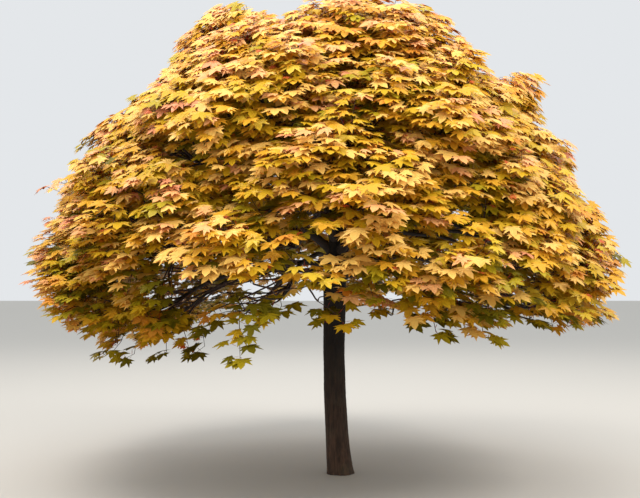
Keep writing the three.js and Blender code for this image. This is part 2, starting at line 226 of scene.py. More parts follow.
# How deep a blade's bowl is at least, and what chance adds. Then what chance adds to or takes off the fold
# along its midrib and its width
BLADE_BOWL = (0.02, 0.08)
BLADE_FOLD, BLADE_WIDTH = 0.12, 0.12
# No leaf stands nearer to its shoot's root than this share of the shoot
NEAREST_FOOT = 0.25
MISSING_LEAVES = 0.06
# Leaves of the first pair that have just opened
OPENING_SHARE = 0.11
OPENING_SIZE = 0.6

# Degrees by which the light side of leaves leans out of the crown, and what is added in each place
TILT = 22
FRONT_TILT, HIGH_TILT, SHOULDER_TILT, UPPER_LEFT_TILT = 2, 4, 10, 6
HEM_TILT, LEFT_HEM_TILT, LEFT_TILT = 8, -2, -9
# Share of a leaning to the side that is kept, what the right shoulder adds and the lower left takes off
SIDE_LEAN = 0.6
SHOULDER_LEAN, LEFT_LEAN = 0.3, 0.5
# Share of it that turns to the front, what the right shoulder adds, and what chance adds or takes off
FRONT_LEAN, SHOULDER_FRONT, LEAN_SWAY = 0.5, 0.4, 0.1
# Leaves to the right of this place point to the right and the others to the left, more so with each metre,
# and chance adds or takes off
PARTING = 0.1
PARTING_RATE, PARTING_SWAY = 1.6, 0.9
# Weights of that and of chance beside the shoot's own way
POINT_ASIDE, POINT_SWAY = 1.8, 0.8

# The pale tints, light_gold and peach, are partly the blades' own colours and partly painted light: the
# sheen of the sky on lit blades. The deep ones, deep_gold, olive_gold and olive, are partly painted shade on
# the blades deep in the crown and low down.
TINTS = [
    ("gold", "#DCA42A", "Most of the open blades"),
    ("light_gold", "#EEBF60", "Blades that face the light"),
    ("deep_gold", "#CAA11C", "Blades under the outer ones"),
    ("peach", "#ECAD6C", "Young blades at the ends of shoots"),
    ("salmon", "#E49868", "The youngest blades"),
    ("orange", "#DC9434", "Young blades at the top and hem"),
    ("young_red", "#CE6430", "Blades that have just opened"),
    ("olive_gold", "#AE981A", "Blades in half shade"),
    ("olive", "#746A10", "Blades inside the crown"),
    ("yellow_green", "#D0AE2E", "Older blades"),
]
TINT_NAMES = [name for name, _, _ in TINTS]
ALGAE = "#6B6A50"
# Near-black painted shade on the trunk, as if under the crown
PAINTED_SHADE_BARK = "#120D0A"
FLOOR_PAINT = "#CCC9C2"
SKY = "#E4E7EA"
LAMP_WHITE = "#FFF8F1"

# Square lamps that aim at the crown: name, place, size and power
LAMPS = [
    ("key_light", (-0.4, -4.6, 10.0), 9.0, 300.0),
    ("front_light", (-1.0, -9.0, 5.5), 7.0, 90.0),
    ("left_light", (-4.2, -3.2, 9.5), 4.0, 420.0),
    ("right_light", (6.5, -4.0, 8.5), 4.0, 440.0),
    ("back_light", (0.0, 9.0, 10.0), 9.0, 350.0),
]
LAMP_AIM = Vector((0, 0, 2))
FLOOR_HALF = 60.0
# The photograph's eye, the degrees that it looks up, and its lens against the width of the picture
EYE = (-0.16, -8.0, 1.55)
EYE_RISE = 1.66
SENSOR = 36.0
LENS_PIXELS, PICTURE_PIXELS = 1000, 640
LENS = SENSOR * LENS_PIXELS / PICTURE_PIXELS


def linear(hex_colour):
    """The linear values of an sRGB hex colour: each share below 0.04045 over 12.92, and each other share
    plus 0.055, over 1.055, to the power 2.4."""
    shares = np.array([int(hex_colour[i:i + 2], 16) / 255 for i in (1, 3, 5)])
    values = np.where(shares <= 0.04045, shares / 12.92, ((shares + 0.055) / 1.055) ** 2.4)
    return tuple(float(value) for value in values)


def length_setting(name, description, default):
    """A length in metres for the panel."""
    return FloatProperty(name=name, description=description, default=default, min=0.0, unit="LENGTH")


def colour_setting(name, description, hex_colour):
    """A colour for the panel, kept as linear values."""
    colour = linear(hex_colour)
    return FloatVectorProperty(
        name=name, description=description, default=colour, size=3, subtype="COLOR", min=0.0, max=1.0
    )


class MapleSizes(bpy.types.PropertyGroup):
    """Sizes of what grows on the boughs"""

    shoots: IntProperty(
        name="Shoots", description="Leafy shoots over the whole crown", default=6300, min=100, max=9000
    )
    blade: length_setting("Blade", "Size of a full-grown blade: its tip lies 1.17 times as far out", 0.088)
    stalk: length_setting("Stalk", "Length of a full-grown leaf's stalk", 0.078)
    bark_relief: length_setting("Bark relief", "Depth of the fissures in the trunk's bark", 0.0035)
    shoot_radius: length_setting("Shoot radius", "Radius of a shoot where it leaves its branch", 0.0035)


class MapleColours(bpy.types.PropertyGroup):
    """Colours of the bark, the stalks and the blades"""

    trunk_bark: colour_setting("Trunk bark", "Weathered bark of the trunk", "#4C3729")
    bough_bark: colour_setting("Bough bark", "Darker bark of the boughs", "#2B211B")
    twig_bark: colour_setting("Twig bark", "Smooth bark of branches and shoots", "#3A241B")
    stalk: colour_setting("Stalk", "Red leaf stalks", "#B5352A")
    __annotations__.update({name: colour_setting(name, text, code) for name, code, text in TINTS})


def chance(*keys):
    """A share from 0 to 1 that is always the same for the same whole numbers, or for arrays of them. The
    first key is a number of its own for each use, so that no two uses share their chances."""
    h = np.uint64(SEED)
    for key in keys:
        h = ((h ^ np.asarray(key).astype(np.uint64)) + KEY_STEP) & WORD
        for factor, shift in MIX_ROUNDS:
            h = (h * factor) & WORD
            h = h ^ (h >> shift)
    return h / 2.0**32


def spread_chance(*keys):
    """The same as a share from -1 to 1."""
    return 2 * chance(*keys) - 1


def chance_vectors(*keys):
    """A vector of three such shares for each whole number in an array."""
    return np.stack([spread_chance(*keys, axis) for axis in range(3)], axis=-1)


def smoothstep(value, low, high):
    """0 below low, 1 above high, and 3s² - 2s³ of the share s between them."""
    share = np.clip((value - low) / (high - low), 0, 1)
    return share * share * (3 - 2 * share)


def unit(vectors):
    """Vectors of length 1 in the same directions."""
    return vectors / np.maximum(np.linalg.norm(vectors, axis=-1, keepdims=True), 1e-9)


def dot(a, b):
    """Dot products along the last axis, kept as a column."""
    return np.sum(a * b, axis=-1, keepdims=True)


def direction(bearing, fall):
    """Unit vectors at a bearing from +X and an angle from the zenith, in radians."""
    return np.stack(
        [np.sin(fall) * np.cos(bearing), np.sin(fall) * np.sin(bearing), np.cos(fall) + 0 * bearing], axis=-1
    )


def front_to_side(d, front, side):
    """One value in front and behind, and another soon to either side, for unit vectors from the heart."""
    sideways = d[..., 0] ** 2 / np.maximum(d[..., 0] ** 2 + d[..., 1] ** 2, 1e-9)
    return front + (side - front) * np.minimum(1, SIDE_BLEND * sideways)


def dome_reach(d):
    """Distance from the heart to the dome: a superellipse in the level and upright shares of the direction,
    with one power above the widest ring and another below it, and a swelling bell-shaped both ways for each
    lobe."""
    level = np.hypot(d[..., 0], d[..., 1])
    spread = SPREAD - LEFT_REACH * d[..., 0] / np.maximum(level, 1e-6)
    above = d[..., 2] > 0
    power = np.where(above, RISE_POWER, DROP_POWER)
    height = np.where(above, RISE, front_to_side(d, FRONT_DROP, SIDE_DROP))
    reach = ((level / spread) ** power + (np.abs(d[..., 2]) / height) ** power) ** (-1 / power)
    bearings = np.degrees(np.arctan2(d[..., 1], d[..., 0]))
    falls = np.degrees(np.arctan2(level, d[..., 2]))
    for bearing, fall, half_width, half_height, swell in LOBES:
        aside = level * ((bearings - bearing + 180) % 360 - 180) / half_width
        down = (falls - fall) / half_height
        reach = reach + swell * np.exp(-(aside**2) - down**2)
    return reach


def hem(d):
    """Height of the hem in a direction: highest in front and behind, lower on the left than on the right."""
    sideways = d[..., 0] / np.maximum(np.hypot(d[..., 0], d[..., 1]), 1e-6)
    return front_to_side(d, FRONT_HEM, SIDE_HEM + RIGHT_LIFT * sideways)


def below(d, depth, swell=0.0):
    """Points at a depth below the dome, seen from the heart along unit vectors."""
    return HEART + d * (dome_reach(d) + swell - depth)[..., None]


def find_masses():
    """Where every mass sits: its tier, direction, swelling, place on the surface and middle."""
    tiers, numbers, ways, swells = [], [], [], []
    for row, (name, count, side_fall, front_fall, first, swell) in enumerate(TIERS):
        i = np.arange(count)
        bearing = np.radians(first + 360 * i / count + SWAY_BEARING * spread_chance(row, i, 1))
        fall = front_to_side(direction(bearing, np.pi / 2), front_fall, side_fall)
        ways.append(direction(bearing, np.radians(fall + SWAY_FALL * spread_chance(row, i, 2))))
        swells.append(swell + SWAY_SWELL * spread_chance(row, i, 3))
        tiers += [name] * count
        numbers += list(i + 1)
    d = np.concatenate(ways)
    swell = np.concatenate(swells)
    return {
        "tier": tiers,
        "number": numbers,
        "d": d,
        "swell": swell,
        "surface": below(d, 0, swell),
        "middle": below(d, MIDDLE_DEPTH, swell),
    }


MASSES = find_masses()


def distances(a, b):
    """Every distance from points a to points b."""
    return np.linalg.norm(a[:, None] - b[None], axis=2)


def crown_point(d):
    """Points of the lumpy crown: the dome, swollen as the nearest mass is and sunk where two masses meet."""
    apart = distances(below(d, 0), MASSES["surface"])
    order = np.argsort(apart, axis=1)[:, :2]
    near, after = np.take_along_axis(apart, order, 1).T
    inside = smoothstep((after - near) / (after + near), 0, FURROW_WIDTH)
    return below(d, FURROW * (1 - inside), MASSES["swell"][order[:, 0]] * inside)


def owner(points):
    """The mass whose space each point lies in: the one whose middle is nearest."""
    return np.argmin(distances(points, MASSES["middle"]), axis=1)


def sunflower(count):
    """Directions spread evenly over the crown by a sunflower's spiral from its top down to its hem."""
    k = np.arange(count)
    fall = np.arccos(1 - (k + 0.5) / count * (1 - LOWEST))
    return direction(k * GOLDEN_ANGLE, fall)


def curve_points(start, bend, end, t):
    """Points of quadratic curves at t: start, bend and end weighted by (1-t)², 2t(1-t) and t²."""
    t = np.asarray(t, float)[..., None]
    return (1 - t) ** 2 * start + 2 * t * (1 - t) * bend + t**2 * end


def at_share(line, share):
    """The point at a share of the length of a line of points."""
    steps = np.concatenate([[0], np.cumsum(np.linalg.norm(np.diff(line, axis=0), axis=1))])
    return np.array([np.interp(share * steps[-1], steps, line[:, axis]) for axis in range(3)])


def trunk_middle(height):
    """The trunk's middle line at heights above the ground."""
    height = np.asarray(height, float)
    points = curve_points(*TRUNK_LINE, height / TRUNK_LINE[2, 2])
    points[..., 2] = height
    return points


def bough_curves():
    """Start, bend and end of every bough: those of the flank fork from the nearest shoulder bough, and the
    others spring from the middle of the trunk."""
    tips = below(MASSES["d"], BOUGH_TIP_DEPTH, MASSES["swell"])
    curves = np.empty((len(tips), 3, 3))
    for i, (tier, number, tip) in enumerate(zip(MASSES["tier"], MASSES["number"], tips)):
        if tier in TRUNK_ROOTS:
            height, stagger = TRUNK_ROOTS[tier]
            curves[i] = bent(trunk_middle(height + (number % 2) * stagger), tip, tier)
    shoulders = [i for i, tier in enumerate(MASSES["tier"]) if tier == "shoulder"]
    bearings = unit(MASSES["d"] * [1, 1, 0])
    forks = dict.fromkeys(shoulders, 0)
    for i, tier in enumerate(MASSES["tier"]):
        if tier != "flank":
            continue
        carrier = max(shoulders, key=lambda s: float(bearings[s] @ bearings[i]))
        line = curve_points(*curves[carrier], np.linspace(0, 1, CARRIER_POINTS))
        curves[i] = bent(at_share(line, FORK_SHARE + forks[carrier] * FORK_STEP), tips[i], tier)
        forks[carrier] += 1
    return curves


def bent(root, tip, tier):
    """A bough's start, bend and end: the bend lies out along the run and is lifted."""
    _, _, out, lift = BOUGHS[tier]
    return np.array([root, root + (tip - root) * out + lift * UP, tip])


def smooth_chance(u, v, key, around=FAR_ROUND):
    """Chance values at whole u and v, blended between them by smoothstep. u comes round after `around`."""
    iu = np.floor(u).astype(int)
    iv = np.floor(v).astype(int)
    fu = smoothstep(u - iu, 0, 1)
    fv = smoothstep(v - iv, 0, 1)

    def corner(a, b):
        return chance(key, (iu + a) % around, (iv + b) % FAR_ROUND)

    low = corner(0, 0) * (1 - fu) + corner(1, 0) * fu
    high = corner(0, 1) * (1 - fu) + corner(1, 1) * fu
    return low * (1 - fv) + high * fv


def wander(lines, amount, bends, key):
    """Lines moved aside by smooth chance, up to amount, with both ends kept: a sine of the share along the
    line fades the move in and out. Each line takes its chances a little further on."""
    count, rings, _ = lines.shape
    share = np.linspace(0, 1, rings)[None]
    line = np.arange(count)[:, None] + 0 * share
    fade = np.sin(np.pi * share)
    place = bends * share + WANDER_STEP * line
    moves = [(2 * smooth_chance(place, line, key + k) - 1) * fade for k in range(3)]
    return lines + amount * np.stack(moves, axis=-1)


def grow_limbs():
    """Every bough with the stem that carries it on into its mass, as lines of points and their radii."""
    curves = bough_curves()
    start, bend, tip = curves[:, 0], curves[:, 1], curves[:, 2]
    heading = unit(tip - bend)
    t = np.linspace(0, 1, BOUGH_RINGS)[None]
    bough = curve_points(start[:, None], bend[:, None], tip[:, None], t)
    t = np.linspace(0, 1, STEM_RINGS + 1)[None, 1:]
    end = below(MASSES["d"], STEM_TIP_DEPTH, MASSES["swell"])
    stem = curve_points(tip[:, None], (tip + STEM_STRAIGHT * heading)[:, None], end[:, None], t)
    lines = wander(np.concatenate([bough, stem], axis=1), *LIMB_WANDER, 40)
    sizes = np.array([BOUGHS[tier][:2] for tier in MASSES["tier"]])
    along = np.linspace(0, 1, BOUGH_RINGS)
    bough_radii = sizes[:, :1] + (sizes[:, 1:] - sizes[:, :1]) * along
    stem_radii = sizes[:, 1:] + (STEM_TIP_RADIUS - sizes[:, 1:]) * np.linspace(0, 1, STEM_RINGS + 1)[1:]
    return lines, np.concatenate([bough_radii, stem_radii], axis=1)


def leaf_axis(mass, tips):
    """How a leaf or shoot at a tip points: away from its mass's middle along the surface and down, and out
    of the crown at a steady rise. Also gives the way out of the crown."""
    outward = unit(tips - HEART)
    away = tips - MASSES["surface"][mass]
    away = unit(away - outward * dot(away, outward))
    level_up = UP - outward * dot(UP, outward)
    lateral = unit(away - LEAF_HANG * level_up)
    return unit(lateral + LEAF_RISE * outward), outward


def grow_branches(limbs):
    """One branch for each leaf of the source: it leaves its stem before the stem's end, so that it stands
    off at about half a right angle, bends where the source's twig is rooted and ends near the leaf's tip."""
    d = sunflower(BRANCHES)
    k = np.arange(BRANCHES)
    depth = np.where(k % 2 == 0, OUTER_DEPTHS[k // 2 % 3], INNER_DEPTHS[k // 2 % 2])
    surface = crown_point(d)
    kept = surface[:, 2] > hem(d)
    d, k, depth, surface = d[kept], k[kept], depth[kept], surface[kept]
    tips = surface - d * depth[:, None]
    mass = owner(tips)
    stem_end = below(MASSES["d"], STEM_TIP_DEPTH, MASSES["swell"])[mass]
    bend = surface - d * TWIG_DEPTH
    bend = bend + TWIG_GATHER * (stem_end - bend)
    axis, outward = leaf_axis(mass, tips)
    start = np.empty_like(tips)
    share, more, length_back = BRANCH_BACK
    times, further = SKIRT_BACK
    for i, m in enumerate(mass):
        line = limbs[m]
        length = np.linalg.norm(np.diff(line, axis=0), axis=1).sum()
        back = np.linalg.norm(bend[i] - stem_end[i]) * (share + more * chance(50, k[i])) + length_back
        if MASSES["tier"][m] == "skirt":
            back = back * times + further * chance(52, k[i])
        start[i] = at_share(line, 1 - min(back, MOST_BACK) / length)
    along, inwards = BRANCH_SHORT
    end = tips - along * axis - inwards * outward
    t = np.linspace(0, 1, BRANCH_RINGS)[None]
    lines = wander(curve_points(start[:, None], bend[:, None], end[:, None], t), *BRANCH_WANDER, 60)
    least, more = BRANCH_THICKNESS
    radii = np.linspace(*BRANCH_RADII, BRANCH_RINGS)[None] * (least + more * chance(51, k))[:, None]
    return {"lines": lines, "radii": radii, "mass": mass, "tips": tips, "outer": k % 2 == 0, "depth": depth}


# Layers of shoots below the surface: share of the shoots, nearest and furthest depth, pairs of leaves
LAYERS = [(0.54, 0.06, 0.13, 4), (0.3, 0.19, 0.3, 4), (0.16, 0.36, 0.5, 3)]
SHOOT_SCATTER = 0.02
# Share of the shoots that grow at the hem in front on the left, more on the right and behind, and the
# heights above the hem between which the others come in
HEM_SHARES = (0.3, 0.35, 0.5)
HEM_BAND = (0.15, 0.6)
# Where the outer layer starts above the hem, how much higher each other one does, and the share of that
# which the left in front goes without
HEM_START = 0.02
LAYER_LIFT = 0.22
OPEN_LEFT = 0.8
# How far shoots sink between the source's leaves, at which distances, and as a share of a leaf's own depth
GAP_SINK = 0.13
GAP_BAND = (0.06, 0.24)
LEAF_SINK = 0.6
# Shares of their depth and of that sinking which the shoots keep at the top, and which the dense upper left
# goes without
TOP_DEPTH, TOP_SINK = 0.35, 0.5
DENSE_DEPTH, DENSE_SINK = 0.35, 0.7
# A shoot's usual length, the shares of it that rise out of the crown at least and lie beyond its bend, and
# the cost of rising less
SHOOT_LENGTH = 0.2
LEAST_RISE = 0.35
SHOOT_BEND = 0.45
RISE_COST = 1.5

# Places where the crown is thin and its boughs show: bearing in degrees, height, half their width and
# height, and the share of shoots that is missing
WINDOWS = [
    (-110, 1.4, 17, 0.17, 0.95), (-98, 1.73, 9, 0.2, 0.95), (-64, 1.36, 15, 0.12, 0.95),
    (-77, 1.41, 4, 0.06, 0.9), (-82, 1.8, 6, 0.1, 0.85), (-67, 2.0, 10, 0.11, 0.95),
    (-69, 1.82, 6, 0.08, 0.9), (-53, 1.48, 9, 0.1, 0.95), (-42, 1.36, 8, 0.06, 0.9),
    (-121, 1.58, 8, 0.13, 0.9), (-132, 2.08, 8, 0.11, 0.9), (-128, 2.44, 5, 0.06, 0.8),
    (-113, 2.1, 3, 0.06, 0.9), (-88, 2.25, 6, 0.08, 0.9), (40, 1.8, 9, 0.1, 0.85), (95, 2.2, 8, 0.08, 0.85),
    (150, 1.7, 8, 0.1, 0.85), (10, 2.3, 6, 0.08, 0.8), (-165, 1.9, 6, 0.08, 0.8),
]

# Belts where the shoots end further in than the dome: its side, -1 on the left and 1 on the right, the
# cosine of the angle from the zenith, half the belt's height as a cosine, and the depth
DIPS = [(1, 0.0, 0.5, 0.08), (1, 0.7, 0.1, 0.1), (-1, 0.6, 0.13, 0.14), (-1, 0.87, 0.08, 0.15)]

# Lone shoots that reach out of the crown: the place of the tip, the way it points and its spray
SPRIGS = [
    ((-2.32, -0.1, 2.27), (-1, 0, 0.05), 2), ((-0.64, -1.97, 1.05), (0.05, -0.2, -1), 8),
    ((-0.6, -1.96, 1.19), (-0.3, -0.2, -1), 7), ((-1.85, -0.2, 0.95), (-0.9, -0.2, -0.1), 8),
    ((-1.66, -0.35, 0.93), (-0.9, -0.1, -0.1), 7), ((-1.38, -0.5, 0.95), (-0.9, -0.2, -0.1), 8),
    ((-1.12, -0.4, 0.97), (-0.8, -0.3, -0.1), 8), ((-0.45, -1.3, 1.3), (-0.6, -0.5, -0.5), 7),
    ((-0.1, -1.1, 1.24), (0.6, -0.8, -0.3), 8), ((0.1, -1.75, 1.45), (0.5, -0.8, -0.2), 4),
    ((0.3, -1.7, 1.4), (0.7, -0.8, -0.2), 2), ((0.16, -1.6, 1.33), (-0.4, -0.8, -0.4), 7),
    ((0.42, -1.6, 1.25), (0.6, -0.6, -0.4), 8), ((0.62, -1.6, 1.17), (0.8, -0.4, -0.3), 8),
    ((0.8, -1.6, 1.2), (0.9, -0.5, -0.2), 1), ((0.95, -1.5, 1.14), (0.9, -0.4, -0.3), 7),
]


def find_growing(d, surface, layer, k):
    """Which shoots of a layer grow: none under the hem, few just above it in front, and few in the thin
    places."""
    x, y, _ = d.T
    above_hem = surface[:, 2] - hem(d) - BACK_LIFT * smoothstep(y, 0.2, 0.8)
    least, on_right, behind = HEM_SHARES
    share = least + on_right * smoothstep(x, 0.0, 0.2) + behind * smoothstep(y, 0.0, 0.4)
    kept = chance(72, layer, k) < share + (1 - share) * smoothstep(above_hem, *HEM_BAND)
    open_left = smoothstep(-x, 0.0, 0.3) * smoothstep(-y, 0.1, 0.4)
    kept &= above_hem > HEM_START + LAYER_LIFT * layer * (1 - OPEN_LEFT * open_left)
    bearings = np.degrees(np.arctan2(y, x))
    for bearing, height, half_width, half_height, missing in WINDOWS:
        away = ((bearings - bearing) / half_width) ** 2 + ((surface[:, 2] - height) / half_height) ** 2
        kept &= chance(73, layer, k) > missing * np.exp(-(away**2))
    return kept


def shoot_depths(branches, d, surface, layer, k):
    """How far below the crown's surface a layer's shoots end: least at the top and on the dense upper left,
    and most between the source's leaves and in the belts."""
    _, shallow, deep, _ = LAYERS[layer]
    x, y, z = d.T
    outer = branches["outer"]
    apart = distances(surface, branches["tips"][outer])
    leaf_depth = branches["depth"][outer][np.argmin(apart, axis=1)]
    sunk = GAP_SINK * smoothstep(apart.min(axis=1), *GAP_BAND) + LEAF_SINK * leaf_depth
    dense = smoothstep(-x, 0.0, 0.4) * smoothstep(z, 0.25, 0.55)
    sunk = sunk * (1 - DENSE_SINK * dense)
    level = np.hypot(x, y)
    depth = shallow + (deep - shallow) * chance(71, layer, k)
    depth = depth * (TOP_DEPTH + (1 - TOP_DEPTH) * level) * (1 - DENSE_DEPTH * dense)
    depth = depth + sunk * (TOP_SINK + (1 - TOP_SINK) * level)
    for side, cosine, half_height, dip in DIPS:
        belt = np.exp(-(((z - cosine) / half_height) ** 2))
        depth = depth + dip * belt * smoothstep(side * x, 0.35, 0.75)
    return depth


def shoot_roots(branches, tips, mass, outward):
    """The point of its mass's branches that each shoot springs from: one near by that lies further in."""
    roots = np.empty_like(tips)
    for m in range(len(MASSES["d"])):
        own = np.flatnonzero(mass == m)
        feet = branches["lines"][branches["mass"] == m][:, 2:].reshape(-1, 3)
        run = tips[own][:, None] - feet[None]
        apart = np.linalg.norm(run, axis=2)
        rise = np.sum(run * outward[own][:, None], axis=2)
        cost = np.abs(apart - SHOOT_LENGTH) + apart + RISE_COST * np.maximum(0, LEAST_RISE * apart - rise)
        roots[own] = feet[np.argmin(cost, axis=1)]
    return roots


def grow_shoots(branches, count):
    """Leafy shoots in layers over the crown, and the lone ones. They bend the way the source's leaves do."""
    tips, layers = [], []
    for layer, (share, *_) in enumerate(LAYERS):
        d = sunflower(int(count * share))
        k = np.arange(len(d))
        d = unit(d + SHOOT_SCATTER * chance_vectors(70, layer, k))
        surface = crown_point(d)
        kept = find_growing(d, surface, layer, k)
        d, k, surface = d[kept], k[kept], surface[kept]
        tips.append(surface - d * shoot_depths(branches, d, surface, layer, k)[:, None])
        layers.append(np.full(len(d), layer))
    tips = np.concatenate([*tips, [tip for tip, _, _ in SPRIGS]])
    mass = owner(tips)
    axis, outward = leaf_axis(mass, tips)
    axis[-len(SPRIGS):] = unit(np.array([way for _, way, _ in SPRIGS]))
    roots = shoot_roots(branches, tips, mass, outward)
    span = np.linalg.norm(tips - roots, axis=1)
    bend = tips - axis * (SHOOT_BEND * span)[:, None]
    t = np.linspace(0, 1, SHOOT_RINGS)[None]
    return {
        "lines": curve_points(roots[:, None], bend[:, None], tips[:, None], t),
        "bend": bend,
        "layer": np.concatenate([*layers, np.full(len(SPRIGS), len(LAYERS) - 1)]),
        "mass": mass,
        "axis": axis,
        "outward": outward,
        "span": span,
    }


@functools.lru_cache(maxsize=2)
def grow(count):
    """All the lines of wood for a count of shoots."""
    limbs, limb_radii = grow_limbs()
    branches = grow_branches(limbs)
    return limbs, limb_radii, branches, grow_shoots(branches, count)


def grid_faces(count, rings, sides):
    """Triangles of tubes whose rings of points follow each other, with a fan over each end."""
    r, s = np.meshgrid(np.arange(rings - 1), np.arange(sides), indexing="ij")
    a = r * sides + s
    b = r * sides + (s + 1) % sides
    walls = np.stack([a, b, b + sides, a, b + sides, a + sides], axis=-1).reshape(-1, 3)
    s = np.arange(1, sides - 1)
    foot = np.stack([0 * s, s + 1, s], axis=-1)
    end = np.stack([0 * s, s, s + 1], axis=-1) + (rings - 1) * sides
    one = np.concatenate([walls, foot, end])
    return (one[None] + np.arange(count)[:, None, None] * rings * sides).reshape(-1, 3)


def tubes(lines, radii, sides):
    """Closed tubes: at each point of a line a ring lies across it, at the radius given for the point or for
    each of its sides."""
    count, rings, _ = lines.shape
    ahead = unit(np.gradient(lines, axis=1))
    chord = np.abs(lines[:, -1] - lines[:, 0])
    aside = np.eye(3)[np.argmin(chord, axis=1)][:, None]
    across = unit(np.cross(aside, ahead))
    over = np.cross(ahead, across)
    angle = np.arange(sides) * 2 * np.pi / sides
    ring = np.cos(angle)[:, None] * across[:, :, None] + np.sin(angle)[:, None] * over[:, :, None]
    radii = radii[..., None] if radii.ndim == 2 else radii
    points = lines[:, :, None] + radii[..., None] * ring
    return points.reshape(-1, 3), grid_faces(count, rings, sides)


def add_object(name, data):
    """An object with its data, in the scene."""
    made = bpy.data.objects.new(name, data)
    bpy.context.scene.collection.objects.link(made)
    return made


def piece(name, points, faces, materials, nodes, tints=None, smooth=True):
    """A mesh of triangles as a finished piece: it rides on the tree's body and stands for its nodes."""
    mesh = bpy.data.meshes.new(name)
    mesh.vertices.add(len(points))
    mesh.vertices.foreach_set("co", points.astype(np.float32).ravel())
    mesh.loops.add(faces.size)
    mesh.loops.foreach_set("vertex_index", faces.astype(np.int32).ravel())
    mesh.polygons.add(len(faces))
    mesh.polygons.foreach_set("loop_start", np.arange(0, faces.size, 3, dtype=np.int32))
    for material in materials:
        mesh.materials.append(material)
    if tints is not None:
        mesh.polygons.foreach_set("material_index", tints.astype(np.int32))
    mesh.polygons.foreach_set("use_smooth", np.full(len(faces), smooth))
    mesh.update(calc_edges=True)
    mesh.validate()
    made = add_object(name, mesh)
    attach(made, BODY)
    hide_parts(*nodes)


def add_node(nodes, kind, settings=None, numbered=None, **inputs):
    """A shader node with its settings, and a value or a link for each numbered or named input."""
    node = nodes.new(kind)
    for name, value in (settings or {}).items():
        setattr(node, name, value)
    named = {name.replace("_", " "): value for name, value in inputs.items()}
    for key, value in {**(numbered or {}), **named}.items():
        if isinstance(value, bpy.types.NodeSocket):
            nodes.id_data.links.new(value, node.inputs[key])
        else:
            node.inputs[key].default_value = value
    return node


def new_material(name, roughness):
    """An empty material, its nodes and its main shader."""
    material = bpy.data.materials.new(name)
    material.use_nodes = True
    nodes = material.node_tree.nodes
    shader = nodes["Principled BSDF"]
    shader.inputs["Roughness"].default_value = roughness
    return material, nodes, shader


def lay_grain(nodes, shader, grain, colour, shades, edges, strength, distance):
    """Shades of a colour that follow a grain, with the grain's relief on the shader. Gives the colour."""
    ramp = add_node(nodes, "ShaderNodeValToRGB", Fac=grain)
    for element, shade, edge in zip(ramp.color_ramp.elements, shades, edges):
        element.position = edge
        element.color = [shade * value for value in colour] + [1]
    bump = add_node(nodes, "ShaderNodeBump", Height=grain, Strength=strength, Distance=distance)
    nodes.id_data.links.new(bump.outputs["Normal"], shader.inputs["Normal"])
    return ramp.outputs["Color"]


def trunk_bark_material(colour):
    """Maple bark, weathered: rough and dull, fine grey-brown grain over darker fissures, in plates 17 mm
    wide, with a green-grey bloom of algae in patches 17 cm wide. From 0.2 m to 1 m above the ground it
    turns almost black: painted shade, as if the crown shaded all of the trunk but its foot."""
    material, nodes, shader = new_material("maple_bark_weathered_and_shaded", 0.92)
    place = add_node(nodes, "ShaderNodeTexCoord").outputs["Object"]
    stretched = add_node(nodes, "ShaderNodeMapping", Vector=place, Scale=(1, 1, 0.15)).outputs["Vector"]
    plates = add_node(nodes, "ShaderNodeTexNoise", Vector=stretched, Scale=60, Detail=6, Roughness=0.6)
    bark = lay_grain(nodes, shader, plates.outputs["Fac"], colour, (0.45, 1.25), (0.38, 0.62), 0.4, 0.002)
    patches = add_node(nodes, "ShaderNodeTexNoise", Vector=place, Scale=6, Detail=3).outputs["Fac"]
    height = add_node(nodes, "ShaderNodeSeparateXYZ", Vector=place).outputs["Z"]
    # Two coats over the bark: patches of algae, and painted shade that blackens it from 0.2 m to 1 m up
    coats = ((patches, 0.5, 0.75, 0.2, ALGAE), (height, 0.2, 1.0, 0.94, PAINTED_SHADE_BARK))
    for value, low, high, most, paint in coats:
        share = add_node(
            nodes, "ShaderNodeMapRange", Value=value, From_Min=low, From_Max=high, To_Max=most
        ).outputs["Result"]
        inputs = {0: share, 6: bark, 7: (*linear(paint), 1)}
        bark = add_node(nodes, "ShaderNodeMix", {"data_type": "RGBA"}, inputs).outputs[2]
    material.node_tree.links.new(bark, shader.inputs["Base Color"])
    return material


def smooth_bark_material(name, colour, grain_width):
    """Bark of young maple wood: smoother than the trunk's, with a fine grain and faint paler patches."""
    material, nodes, shader = new_material(name, 0.8)
    place = add_node(nodes, "ShaderNodeTexCoord").outputs["Object"]
    grain = add_node(nodes, "ShaderNodeTexNoise", Vector=place, Scale=1 / grain_width, Detail=4)
    bark = lay_grain(nodes, shader, grain.outputs["Fac"], colour, (0.6, 1.3), (0.35, 0.65), 0.3, 0.001)
    material.node_tree.links.new(bark, shader.inputs["Base Color"])
    return material


def leaf_material(name, colour):
    """A maple blade: thin and satin, its upper side faintly waxy. The puckers between its veins, 6 mm
    apart in life, are drawn 12 mm apart so that they show."""
    material, nodes, shader = new_material(name, 0.42)
    shader.inputs["Base Color"].default_value = (*colour, 1)
    shader.inputs["IOR"].default_value = 1.36
    place = add_node(nodes, "ShaderNodeTexCoord").outputs["Object"]
    puckers = add_node(nodes, "ShaderNodeTexNoise", Vector=place, Scale=1 / 0.012, Detail=2)
    bump = add_node(nodes, "ShaderNodeBump", Height=puckers.outputs["Fac"], Strength=0.25, Distance=0.003)
    material.node_tree.links.new(bump.outputs["Normal"], shader.inputs["Normal"])
    return material


class MAPLE_OT_trunk(bpy.types.Operator):
    """Grow the trunk with its flare, graft and fissured bark"""

    bl_idname = "maple.trunk"
    bl_label = "Trunk"

    def execute(self, context):
        sizes = context.scene.maple_sizes
        height = np.linspace(0, TRUNK_LINE[2, 2], TRUNK_RINGS)[:, None]
        angle = (np.arange(TRUNK_SIDES) * 2 * np.pi / TRUNK_SIDES)[None]
        points = trunk_surface(height, angle, sizes.bark_relief)
        faces = grid_faces(1, TRUNK_RINGS, TRUNK_SIDES)
        material = trunk_bark_material(context.scene.maple_colours.trunk_bark)
        piece("trunk_bark", points.reshape(-1, 3), faces, [material], ["trunk"])
        return {"FINISHED"}


